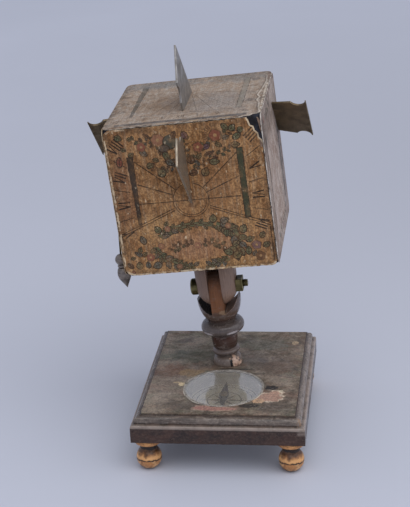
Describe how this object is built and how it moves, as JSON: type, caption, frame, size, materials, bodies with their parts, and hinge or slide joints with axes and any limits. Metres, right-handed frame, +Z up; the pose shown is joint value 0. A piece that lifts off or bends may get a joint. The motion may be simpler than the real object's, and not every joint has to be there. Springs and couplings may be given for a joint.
{
  "type": "polyhedral sundial",
  "caption": "Cube sundial with printed paper dials and brass gnomons on a hinged turned pillar, over a footed moulded base with an inset compass, with a plumb bob for levelling.",
  "frame": {"origin": "on the table, under the middle of the bounding box", "axes": "+Z up, -Y towards the north dial and the compass, +X towards the west dial"},
  "size_m": [0.1048, 0.1162, 0.1905],
  "materials": {
    "base_wood": "dark stained, rubbed",
    "foot_wood": "turned, waxed",
    "pillar_wood": "turned, dark red-brown stain",
    "fork_wood": "turned, dry",
    "cube_wood": "dark, bare at the worn edges",
    "base_paper": "marbled, rubbed",
    "strip_paper": "plain",
    "card_paper": "printed compass rose",
    "dial_paper": "printed and hand coloured, browned",
    "dial_paper_grey": "printed, greyed",
    "dial_paper_pale": "printed, faded",
    "gnomon_brass": "aged, dark",
    "gnomon_brass_grey": "aged, grey",
    "fitting_brass": "aged",
    "needle_steel": "blued",
    "pivot_steel": "ground",
    "cover_glass": "clear, old",
    "bob_metal": "turned, dull"
  },
  "bodies": {
    "base": {"base_board": "base_wood", "base_top_paper": "base_paper", "foot_front_left": "foot_wood", "foot_front_right": "foot_wood", "foot_back_left": "foot_wood", "foot_back_right": "foot_wood", "compass_card": "card_paper", "compass_pivot": "pivot_steel", "compass_glass": "cover_glass", "glazing_strip": "strip_paper", "pillar": "pillar_wood"},
    "cube": {"fork_block": "fork_wood", "hinge_bolt": "fitting_brass", "hinge_nut": "fitting_brass", "cube_block": "cube_wood", "north_dial_paper": "dial_paper", "south_dial_paper": "dial_paper", "east_dial_paper": "dial_paper", "west_dial_paper": "dial_paper_pale", "top_dial_paper": "dial_paper_grey", "north_gnomon": "gnomon_brass", "south_gnomon": "gnomon_brass", "east_gnomon": "gnomon_brass", "west_gnomon": "gnomon_brass", "top_gnomon": "gnomon_brass_grey", "plumb_peg": "fitting_brass"},
    "needle": {"compass_needle": "needle_steel", "needle_cap": "fitting_brass"},
    "plumb": {"plumb_wire": "fitting_brass", "plumb_bob": "bob_metal"}
  },
  "joints": [
    {"name": "cube_tilt", "type": "hinge", "parent": "base", "child": "cube", "pos_m": [0.0065, 0.00215, 0.06924], "axis": [0.996, 0, 0.0889], "range_deg": [-30, 30]},
    {"name": "needle_turn", "type": "hinge", "parent": "base", "child": "needle", "pos_m": [0.01113, -0.02665, 0.0212], "axis": [0, 0, 1], "continuous": true},
    {"name": "plumb_swing", "type": "hinge", "parent": "cube", "child": "plumb", "pos_m": [-0.03522, -0.01873, 0.12707], "axis": [0.996, 0, 0.0889], "range_deg": [-35, 35]}
  ]
}
